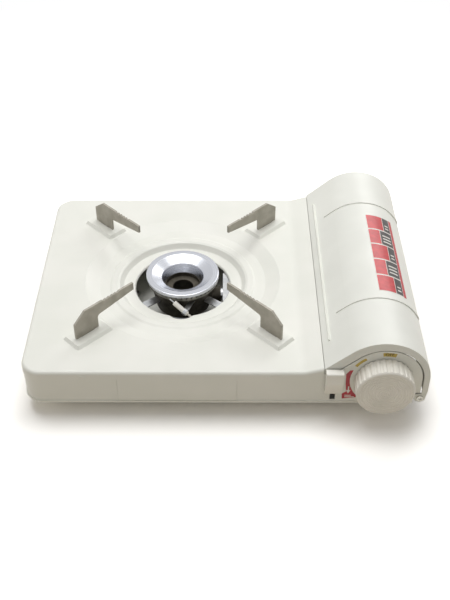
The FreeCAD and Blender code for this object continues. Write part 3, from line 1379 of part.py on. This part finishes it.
def make_body_parts():
    pan = make_base_pan()
    vent_holes(pan)
    studs = [make_stud(1, "stud_left", "stud_z"), make_stud(2, "stud_right", "stud_z")]
    screws = []
    for x in ("dish_x - 60", "dish_x + 60", "bay_x - 20"):
        for side in ("- %s + pan_inset / 2", "+ %s - pan_inset / 2"):
            y = MIDDLE + " " + side % WALL_IN
            screws.append(make_screw("case_screw_%d" % len(screws), x, y, "pan_ledge - sheet_thick",
                                     FACING_DOWN))
    feet = []
    for name, x, y in (("foot_front_left", "foot_left", "foot_front"),
                       ("foot_front_right", "foot_right", "foot_front"),
                       ("foot_rear_left", "foot_left", "foot_rear"),
                       ("foot_rear_right", "foot_right", "foot_rear")):
        feet.append(make_foot(name, x, y))
    return [make_lower_case(), pan, make_top_plate(), make_partition(), group("skirt_studs", studs),
            group("case_screws", screws)] + feet


def make_cooking_parts():
    turns = [value("arm_turn") + 90 * number for number in range(4)]
    arms = [make_pot_support("pot_support_" + name, turn) for name, turn in zip(CORNERS, turns)]
    keepers = [make_keeper(number, turn) for number, turn in enumerate(turns)]
    stays = [make_burner_stay(1, -38), make_burner_stay(2, -142)]
    burner = [make_burner_body(), make_port_ring(), make_burner_cap(), make_mixing_tube(),
              make_air_shutter(), make_injector_jet(), make_jet_bracket(), make_burner_bracket(),
              make_heat_plate()]
    return arms + [group("support_keepers", keepers), group("burner_stays", stays)] + burner


def make_bay_parts():
    cradles = [make_cradle(1, "cradle_front"), make_cradle(2, "cradle_back")]
    guides = [make_rod_guide(1, "rod_guide_front"), make_rod_guide(2, "rod_guide_rear")]
    posts = [make_post(number, angle) for number, angle in enumerate((50, 130, 230, 310))]
    return [make_regulator_body(), make_regulator_cap(), make_cartridge_socket(), make_stem_seal(),
            make_guide_plate(), group("cartridge_cradles", cradles), group("rod_guides", guides),
            group("regulator_posts", posts), make_pusher(), make_pusher_spring(), make_push_rod(),
            make_lever_arm(), make_lever_cap(), make_lever_pin(), make_lever_detent()]


def make_knob_parts():
    return [make_knob(), make_spindle(), make_cam(), make_clip(), make_piezo(), make_striker(),
            make_striker_spring()]


def make_cover_parts():
    rear_end = REAR_FACE + " - end_thick"
    rear_bracket = MIDDLE + " + " + WALL_IN + " - bracket_thick"
    return [make_cover_shell(), make_cover_end("cover_front_end", FRONT, "0 - rim_step"),
            make_cover_end("cover_rear_end", rear_end, "0 - end_thick"),
            make_hinge_bracket("hinge_bracket_front", PANEL_BACK),
            make_hinge_bracket("hinge_bracket_rear", rear_bracket),
            make_hinge_screw("hinge_screw_front", FRONT, None),
            make_hinge_screw("hinge_screw_rear", REAR_FACE, TURNED_ROUND)]


def check_all(nodes):
    """Stop if a feature failed, a shape is bad or a pocket took nothing away."""
    faults = []
    for thing in doc.Objects:
        if "Invalid" in thing.State or "Error" in thing.State:
            faults.append("%s is %s" % (thing.Name, thing.State))
    for node in nodes:
        if node.Shape.isNull() or not node.Shape.isValid():
            faults.append("%s has a bad shape" % node.Label)
    for before, after in cuts:
        if after.Shape.isNull() or after.Shape.Volume > before.Shape.Volume - 0.01:
            faults.append("%s takes nothing away" % after.Name)
    for fault in faults:
        print("FAULT", fault)
    if faults:
        raise SystemExit(1)


fill_sheet()
nodes = make_body_parts() + make_cooking_parts() + make_bay_parts()
nodes += make_knob_parts() + make_cover_parts()
nodes += [make_gas_tube(), make_ignition_lead()] + make_electrode()
doc.recompute()
check_all(nodes)

os.makedirs("parts", exist_ok=True)
for node in nodes:
    node.Shape.exportStep("parts/%s.step" % node.Label)
    size = node.Shape.optimalBoundingBox()
    print("%-22s %d solids  X %.1f %.1f  Y %.1f %.1f  Z %.1f %.1f" % (
        node.Label, len(node.Shape.Solids), size.XMin, size.XMax, size.YMin, size.YMax, size.ZMin,
        size.ZMax))
print("%d nodes" % len(nodes))
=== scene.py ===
"""Looks for the portable cassette stove: camera, finishes, printed marks, floor and light."""
import bmesh
import bpy
import json
import math
from mathutils import Matrix, Vector


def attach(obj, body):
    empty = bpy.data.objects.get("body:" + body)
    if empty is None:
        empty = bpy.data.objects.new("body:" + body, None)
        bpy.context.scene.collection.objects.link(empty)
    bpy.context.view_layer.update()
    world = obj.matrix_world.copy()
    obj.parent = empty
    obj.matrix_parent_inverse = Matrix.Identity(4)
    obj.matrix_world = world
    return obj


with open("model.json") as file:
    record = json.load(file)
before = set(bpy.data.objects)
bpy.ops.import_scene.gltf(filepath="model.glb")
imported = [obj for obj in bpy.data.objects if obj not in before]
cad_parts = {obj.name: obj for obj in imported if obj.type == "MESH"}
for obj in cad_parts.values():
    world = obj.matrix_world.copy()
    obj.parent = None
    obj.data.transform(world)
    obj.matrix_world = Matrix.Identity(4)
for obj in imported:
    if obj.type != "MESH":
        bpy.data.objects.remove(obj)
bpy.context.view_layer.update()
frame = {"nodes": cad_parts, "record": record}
scene = bpy.context.scene
nodes = frame["nodes"]

# Places on the stove that the printed marks follow, in metres
BAY_AXIS = Vector((0.130, 0.0, 0.0435))
COVER_RADIUS = 0.040
KNOB_AXIS = Vector((0.1315, 0.0, 0.0425))
BURNER_AXIS = Vector((-0.039, 0.008, 0.0))
PANEL_FACE = -0.1174
OFF_PLACE_X = 0.1338
OFF_PLACE_Z = 0.0697
OFF_TALL = 0.0042

# Thickness of one layer of ink, in metres
INK = 0.00005

# Label on the cover: its ends in metres, its edges in degrees round the bay from +X
LABEL_FRONT = -0.051
LABEL_BACK = 0.061
LABEL_LOW = 49
LABEL_HIGH = 88
STRIPE_TOP = 53.4
TILES = 5
TILE_GAP = 0.0008
TILE_LOW = 54
TILE_HIGH = 87
LONG_TILES = ((65, TILE_HIGH), (TILE_LOW, 64.2))
SHORT_TILES = ((72, TILE_HIGH), (TILE_LOW, 71.2))
BAR_START = 0.004
BAR_STEP = 0.0045
BAR_WIDE = 0.0018
BAR_MARGIN = 2.5

# Camera, with its place in metres and its turns in degrees
CAMERA_PLACE = (0.00361, -0.67655, 0.60456)
CAMERA_TURNS = (49.621, 0.088, 0.233)
LENS_MM = 57.28
SENSOR_MM = 36

# Floor: its half width in metres, how bright the camera sees it, and where it fades to white
FLOOR_HALF = 6
FLOOR_TO_CAMERA = (1.45, 1.44, 1.42, 1)
SHADOW_REACH_MM = (420, 800)

# Light
WHITE = (1, 1, 1, 1)
SKY_COLOUR = (1.0, 0.975, 0.94, 1)
SKY_STRENGTH = 0.3
OVERHEAD_WATTS = 10.9
REAR_WATTS = 4


def set_camera():
    """A long lens from the front, looking down on the stove."""
    lens = bpy.data.cameras.new("camera")
    lens.lens = LENS_MM
    lens.sensor_width = SENSOR_MM
    camera = bpy.data.objects.new("camera", lens)
    camera.location = CAMERA_PLACE
    camera.rotation_euler = [math.radians(turn) for turn in CAMERA_TURNS]
    scene.collection.objects.link(camera)
    scene.camera = camera


def linear(colour):
    """An sRGB hex colour as the linear values that a shader takes."""
    parts = [int(colour[i:i + 2], 16) / 255 for i in (1, 3, 5)]
    return [part / 12.92 if part <= 0.04045 else ((part + 0.055) / 1.055) ** 2.4 for part in parts] + [1]


def add(material, kind, inputs=None, **settings):
    """One shader node with its settings, its values and its links."""
    tree = material.node_tree
    made = tree.nodes.new("ShaderNode" + kind)
    for name, setting in settings.items():
        setattr(made, name, setting)
    for name, source in (inputs or {}).items():
        if isinstance(source, bpy.types.NodeSocket):
            tree.links.new(source, made.inputs[name])
        else:
            made.inputs[name].default_value = source
    return made


def new_material(name, colour, roughness, metallic=0.0):
    """A material with its shader; colours are sRGB hex."""
    material = bpy.data.materials.new(name)
    material.use_nodes = True
    shader = material.node_tree.nodes["Principled BSDF"]
    shader.inputs["Base Color"].default_value = linear(colour)
    shader.inputs["Roughness"].default_value = roughness
    shader.inputs["Metallic"].default_value = metallic
    return material, shader


def place_of(material, centre=(0, 0, 0), stretch=(1, 1, 1)):
    """Object coordinates in millimetres, counted from a centre and stretched."""
    coordinates = add(material, "TexCoord")
    scale = [1000 * part for part in stretch]
    shift = [-1000 * a * b for a, b in zip(centre, stretch)]
    return add(material, "Mapping", {
        "Vector": coordinates.outputs["Object"], "Location": shift, "Scale": scale}).outputs["Vector"]


def grain(material, place, size, detail=2.0):
    """Noise whose spots are about size millimetres across."""
    return add(material, "TexNoise", {"Vector": place, "Scale": 1 / size, "Detail": detail}).outputs["Fac"]


def tint(material, shader, factor, low, high):
    """The base colour drifts between two near colours."""
    ramp = add(material, "ValToRGB", {"Fac": factor})
    ramp.color_ramp.elements[0].position = 0.35
    ramp.color_ramp.elements[1].position = 0.65
    ramp.color_ramp.elements[0].color = linear(low)
    ramp.color_ramp.elements[1].color = linear(high)
    material.node_tree.links.new(ramp.outputs["Color"], shader.inputs["Base Color"])


def vary_roughness(material, shader, factor, low, high):
    change = add(material, "MapRange", {"Value": factor, "To Min": low, "To Max": high})
    material.node_tree.links.new(change.outputs["Result"], shader.inputs["Roughness"])


def dent(material, shader, height, depth):
    """Relief of the given depth in millimetres."""
    bump = add(material, "Bump", {"Height": height, "Strength": 1.0, "Distance": depth / 1000})
    material.node_tree.links.new(bump.outputs["Normal"], shader.inputs["Normal"])


def white_enamel(name, low, high):
    """Powder-coated steel: an even warm white with a faint orange peel 1.5 mm across and a soft gloss."""
    material, shader = new_material(name, high, 0.38)
    place = place_of(material)
    tint(material, shader, grain(material, place, 45), low, high)
    vary_roughness(material, shader, grain(material, place, 12), 0.34, 0.44)
    dent(material, shader, grain(material, place, 1.5), 0.012)
    return material


def support_enamel():
    """Satin nickel-grey enamel on thick sheet: warm grey, with fine grit and slightly worn sheen."""
    material, shader = new_material("satin_grey_enamel", "#AAA599", 0.42, 0.25)
    place = place_of(material)
    tint(material, shader, grain(material, place, 9), "#A29D91", "#B1ACA1")
    vary_roughness(material, shader, grain(material, place, 3), 0.36, 0.5)
    dent(material, shader, grain(material, place, 0.9), 0.02)
    return material


def turned_aluminium(name, colour, centre, across, roughness, depth):
    """Spun or turned aluminium: bright metal with fine rings round its axis, about 0.8 mm apart."""
    material, shader = new_material(name, colour, roughness, 1.0)
    place = place_of(material, centre, across)
    radius = add(material, "VectorMath", {0: place}, operation="LENGTH").outputs["Value"]
    line = add(material, "CombineXYZ", {"X": radius}).outputs["Vector"]
    rings = grain(material, line, 0.8, 4.0)
    vary_roughness(material, shader, rings, roughness - 0.08, roughness + 0.12)
    dent(material, shader, rings, depth)
    return material


def cast_metal(name, low, high, roughness):
    """Pressure die casting: dull metal, mottled over 6 mm, with a sandy skin of 0.7 mm grains."""
    material, shader = new_material(name, high, roughness, 0.75)
    place = place_of(material)
    tint(material, shader, grain(material, place, 6), low, high)
    dent(material, shader, grain(material, place, 0.7), 0.05)
    return material


def plated_steel():
    """Zinc-plated strip: bluish bright metal with faint rolling lines along X and cloudy patches."""
    material, shader = new_material("zinc_plated_steel", "#BDBFC0", 0.33, 1.0)
    clouds = grain(material, place_of(material), 7)
    tint(material, shader, clouds, "#AEB0B2", "#C9CACA")
    lines = grain(material, place_of(material, stretch=(0.05, 1, 1)), 0.6)
    vary_roughness(material, shader, lines, 0.24, 0.42)
    dent(material, shader, lines, 0.008)
    return material


def plain_metal(name, low, high, roughness):
    """Drawn or turned metal: a clean sheen that dulls in soft patches of 5 mm."""
    material, shader = new_material(name, high, roughness, 1.0)
    place = place_of(material)
    tint(material, shader, grain(material, place, 5), low, high)
    vary_roughness(material, shader, grain(material, place, 1.2), roughness - 0.06, roughness + 0.1)
    return material


def moulded(name, low, high, roughness, grit=0.6, depth=0.02):
    """Moulded plastic or rubber: an even colour with the fine texture of its mould."""
    material, shader = new_material(name, high, roughness)
    place = place_of(material)
    tint(material, shader, grain(material, place, 14), low, high)
    vary_roughness(material, shader, grain(material, place, 4), roughness - 0.05, roughness + 0.07)
    dent(material, shader, grain(material, place, grit), depth)
    return material


def knob_plastic():
    """Moulded ABS: warm white, with shallow rings 2.2 mm apart that a turned mould leaves on the face."""
    material, shader = new_material("knob_abs", "#F4F1E8", 0.42)
    tint(material, shader, grain(material, place_of(material), 14), "#F0EDE4", "#F6F3EA")
    place = place_of(material, KNOB_AXIS, (1, 0, 1))
    radius = add(material, "VectorMath", {0: place}, operation="LENGTH").outputs["Value"]
    wave = add(material, "Math", {0: radius, 1: 2 * math.pi / 2.2}, operation="MULTIPLY").outputs["Value"]
    rings = add(material, "Math", {0: wave}, operation="SINE").outputs["Value"]
    dent(material, shader, rings, 0.14)
    return material


def glazed_ceramic():
    """Glazed alumina: smooth ivory white with a wet gloss."""
    material, shader = new_material("glazed_alumina", "#F1EFE8", 0.16)
    shader.inputs["Coat Weight"].default_value = 0.5
    place = place_of(material)
    tint(material, shader, grain(material, place, 3), "#E9E6DC", "#F4F2EC")
    return material


def printed_film(name, low, high):
    """Printed vinyl film: flat colour with a soft gloss and faint unevenness of the ink."""
    material, shader = new_material(name, high, 0.3)
    place = place_of(material)
    tint(material, shader, grain(material, place, 5), low, high)
    return material


def dress_nodes():
    """Every CAD node gets the finish of its slot in the record."""
    turned = (1, 1, 0)
    finishes = {
        "white_enamel": white_enamel("white_enamel", "#EDEEE6", "#F2F2EB"),
        "cover_enamel": white_enamel("cover_enamel", "#E9EAE3", "#EFF0E9"),
        "support_enamel": support_enamel(),
        "plated_steel": plated_steel(),
        "spun_steel": turned_aluminium("spun_aluminium", "#BFC1C7", BURNER_AXIS, turned, 0.24, 0.012),
        "casting": cast_metal("burner_casting", "#3F3B33", "#524D44", 0.55),
        "die_cast": cast_metal("regulator_casting", "#8B8C8C", "#9FA09F", 0.45),
        "brass": plain_metal("turned_brass", "#B0935A", "#C9AC6E", 0.28),
        "ceramic": glazed_ceramic(),
        "black_plastic": moulded("black_nylon", "#141414", "#1D1D1D", 0.5),
        "knob_plastic": knob_plastic(),
        "lever_plastic": moulded("lever_abs", "#F6F4EC", "#FAF9F2", 0.36),
        "rubber": moulded("black_rubber", "#111110", "#1B1A19", 0.75, 0.5, 0.05),
        "copper": plain_metal("drawn_copper", "#A8654A", "#C07A5B", 0.32),
        "lead_jacket": moulded("silicone_jacket", "#CFCBC1", "#DCD9D0", 0.4),
        "screw_steel": plain_metal("nickel_plated_screw", "#B5B2A8", "#CFCCC2", 0.25),
    }
    for part in frame["record"]["subparts"]:
        mesh = nodes[part["node"]].data
        mesh.materials.clear()
        mesh.materials.append(finishes[part["material_slot"]])
    ring = nodes["port_ring"].data
    ring.materials.clear()
    ring.materials.append(cast_metal("port_ring_casting", "#77756F", "#918F88", 0.4))


def finish_piece(bm, name, material, body):
    """Turn a bmesh into a piece that rides on a body."""
    bmesh.ops.recalc_face_normals(bm, faces=bm.faces)
    mesh = bpy.data.meshes.new(name)
    bm.to_mesh(mesh)
    bm.free()
    mesh.materials.append(material)
    piece = bpy.data.objects.new(name, mesh)
    scene.collection.objects.link(piece)
    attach(piece, body)


# Printed marks on the control panel

def panel_print(bm, corners, layer=1):
    """A thin printed shape on the panel from corners (x, z) in millimetres."""
    face_y = PANEL_FACE - INK * layer
    corner_points = [bm.verts.new((x / 1000, face_y, z / 1000)) for x, z in corners]
    face = bm.faces.new(corner_points)
    made = bmesh.ops.extrude_face_region(bm, geom=[face])
    moved = [item for item in made["geom"] if isinstance(item, bmesh.types.BMVert)]
    bmesh.ops.translate(bm, verts=moved, vec=(0, -INK / 2, 0))


def round_knob(radius, start, end, steps):
    """Points (x, z) on a circle round the knob, angles in degrees from +X."""
    turns = [math.radians(start + (end - start) * i / steps) for i in range(steps + 1)]
    return [(KNOB_AXIS.x * 1000 + radius * math.cos(turn), KNOB_AXIS.z * 1000 + radius * math.sin(turn))
            for turn in turns]


def red_panel_label():
    """Waisted red label between the lever and the knob, its right side round the knob."""
    bm = bmesh.new()
    inner_side = round_knob(27.8, 156.5, 226.5, 14)
    outer_side = [(98.6, 20.4), (98.3, 26.4), (101.6, 28.9), (100.6, 38), (100.2, 49.0), (103.2, 53.5)]
    panel_print(bm, inner_side + outer_side)
    red = printed_film("red_label_film", "#A9202B", "#BA2732")
    finish_piece(bm, "red_panel_label", red, "stove")


def pale_label_marks():
    """Plain marks on the red label: an arrow for the lever and two short bars."""
    bm = bmesh.new()
    panel_print(bm, [(101.5, 30.5), (103.4, 26.6), (105.3, 30.5)], 2)
    panel_print(bm, [(102.9, 30.5), (103.9, 30.5), (103.9, 35), (102.9, 35)], 2)
    panel_print(bm, [(100.6, 22.2), (108.6, 22.2), (108.6, 23), (100.6, 23)], 2)
    panel_print(bm, [(100.6, 24.0), (106.0, 24.0), (106.0, 24.8), (100.6, 24.8)], 2)
    pale = printed_film("pale_ink", "#EDE9E4", "#F6F3EF")
    finish_piece(bm, "pale_label_marks", pale, "stove")


def yellow_dial_marks():
    """Yellow patches that show the knob's lit and closed places."""
    bm = bmesh.new()
    low_edge = round_knob(27.2, 147, 124, 6)
    high_edge = round_knob(29.8, 124, 147, 6)
    panel_print(bm, low_edge + high_edge)
    panel_print(bm, round_knob(26.8, 96, 74, 6) + round_knob(30.6, 74, 96, 6))
    yellow = printed_film("yellow_ink", "#C9AE52", "#D6BE68")
    finish_piece(bm, "yellow_dial_marks", yellow, "stove")


def off_word():
    """The word OFF above the knob."""
    words = bpy.data.curves.new("off_word", "FONT")
    words.body = "OFF"
    words.size = OFF_TALL
    words.align_x = "CENTER"
    words.extrude = INK / 2
    text = bpy.data.objects.new("off_word_curve", words)
    scene.collection.objects.link(text)
    bpy.context.view_layer.update()
    mesh = bpy.data.meshes.new_from_object(text)
    bpy.data.objects.remove(text)
    upright = Matrix.Rotation(math.radians(90), 4, "X")
    place = Matrix.Translation((OFF_PLACE_X, PANEL_FACE - INK * 2, OFF_PLACE_Z))
    mesh.transform(place @ upright)
    bm = bmesh.new()
    bm.from_mesh(mesh)
    black = printed_film("black_ink", "#1C1B18", "#26251F")
    finish_piece(bm, "off_word", black, "stove")


# Coloured label over the cover

def cover_patch(bm, front, back, low, high, layer):
    """A thin patch bent over the cover: front and back in metres, angles in degrees from +X."""
    radius = COVER_RADIUS + INK * layer
    top = math.radians(high)
    start = BAY_AXIS + Vector((radius * math.cos(top), 0, radius * math.sin(top)))
    ends = [bm.verts.new((start.x, y, start.z)) for y in (front, back)]
    edge = bm.edges.new(ends)
    steps = max(2, round((high - low) / 4))
    bmesh.ops.spin(bm, geom=ends + [edge], cent=BAY_AXIS, axis=(0, 1, 0), dvec=(0, 0, 0),
                   angle=math.radians(high - low), steps=steps, use_merge=False)


def cover_label(name, patches, material, layer):
    bm = bmesh.new()
    for patch in patches:
        cover_patch(bm, *patch, layer)
    finish_piece(bm, name, material, "cover")


def make_cover_label():
    """A generic strip: red tiles beside dark tiles, with plain pale bars and a red stripe below."""
    red = printed_film("red_label_print", "#B9262C", "#CC3336")
    dark = printed_film("dark_label_print", "#34302E", "#443F3C")
    pale = printed_film("pale_label_print", "#DAD6D0", "#E8E5DF")
    cover_label("cover_label_base", [(LABEL_FRONT, LABEL_BACK, LABEL_LOW, LABEL_HIGH)], pale, 1)
    step = (LABEL_BACK - LABEL_FRONT) / TILES
    reds = []
    darks = []
    pales = []
    for number in range(TILES):
        near = LABEL_FRONT + number * step + TILE_GAP
        far = near + step - 2 * TILE_GAP
        red_tile, dark_tile = SHORT_TILES if number % 2 else LONG_TILES
        reds.append((near, far, *red_tile))
        darks.append((near, far, *dark_tile))
        for bar in range(2 + number % 2):
            start = near + BAR_START + bar * BAR_STEP
            pales.append((start, start + BAR_WIDE, dark_tile[0] + BAR_MARGIN, dark_tile[1] - BAR_MARGIN))
    reds.append((LABEL_FRONT, LABEL_BACK, LABEL_LOW, STRIPE_TOP))
    cover_label("cover_label_red", reds, red, 2)
    cover_label("cover_label_dark", darks, dark, 2)
    cover_label("cover_label_bars", pales, pale, 3)


# Floor and light

def seen_as_white(material):
    """A value of 1 for the rays that should see plain white: camera, mirror and glass rays."""
    rays = add(material, "LightPath").outputs
    direct = add(material, "Math", {0: rays["Is Camera Ray"], 1: rays["Is Glossy Ray"]}, operation="MAXIMUM")
    either = add(material, "Math", {0: direct.outputs["Value"], 1: rays["Is Transmission Ray"]},
                 operation="MAXIMUM")
    return either.outputs["Value"]


def make_floor():
    """A plain pale floor that looks white to the camera and keeps the stove's shadow."""
    bm = bmesh.new()
    bmesh.ops.create_grid(bm, x_segments=1, y_segments=1, size=FLOOR_HALF)
    mesh = bpy.data.meshes.new("floor")
    bm.to_mesh(mesh)
    bm.free()
    material, shader = new_material("pale_floor", "#D6CCBA", 0.9)
    paper = add(material, "BsdfDiffuse", {"Color": FLOOR_TO_CAMERA})
    glow = add(material, "Emission", {"Color": WHITE, "Strength": 1.0})
    away = add(material, "VectorMath", {0: place_of(material)}, operation="LENGTH").outputs["Value"]
    fade = add(material, "MapRange", {"Value": away, "From Min": SHADOW_REACH_MM[0],
                                      "From Max": SHADOW_REACH_MM[1]})
    page = add(material, "MixShader", {0: fade.outputs["Result"], 1: paper.outputs["BSDF"],
                                       2: glow.outputs["Emission"]})
    mix = add(material, "MixShader", {0: seen_as_white(material), 1: shader.outputs["BSDF"],
                                      2: page.outputs["Shader"]})
    output = material.node_tree.nodes["Material Output"]
    material.node_tree.links.new(mix.outputs["Shader"], output.inputs["Surface"])
    mesh.materials.append(material)
    floor = bpy.data.objects.new("floor", mesh)
    scene.collection.objects.link(floor)


def make_world():
    """Even pale light from all round; the camera and mirrors see plain white."""
    world = bpy.data.worlds.new("studio")
    world.use_nodes = True
    scene.world = world
    background = world.node_tree.nodes["Background"]
    white = add(world, "Background", {"Color": WHITE, "Strength": 1.0})
    background.inputs["Color"].default_value = SKY_COLOUR
    background.inputs["Strength"].default_value = SKY_STRENGTH
    mix = add(world, "MixShader", {0: seen_as_white(world), 1: background.outputs["Background"],
                                   2: white.outputs["Background"]})
    output = world.node_tree.nodes["World Output"]
    world.node_tree.links.new(mix.outputs["Shader"], output.inputs["Surface"])


def add_softbox(name, place, aim, size, watts):
    lamp = bpy.data.lights.new(name, "AREA")
    lamp.shape = "RECTANGLE"
    lamp.size, lamp.size_y = size
    lamp.energy = watts
    box = bpy.data.objects.new(name, lamp)
    box.location = place
    box.rotation_euler = (Vector(aim) - Vector(place)).to_track_quat("-Z", "Y").to_euler()
    scene.collection.objects.link(box)


scene.view_settings.view_transform = "Standard"
set_camera()
dress_nodes()
red_panel_label()
pale_label_marks()
yellow_dial_marks()
off_word()
make_cover_label()
make_floor()
make_world()
add_softbox("overhead_softbox", (-0.1, 0.25, 1.3), (0, 0.05, 0), (1.0, 0.8), OVERHEAD_WATTS)
add_softbox("rear_softbox", (0.6, 1.1, 0.9), (0, 0, 0.04), (0.7, 0.5), REAR_WATTS)
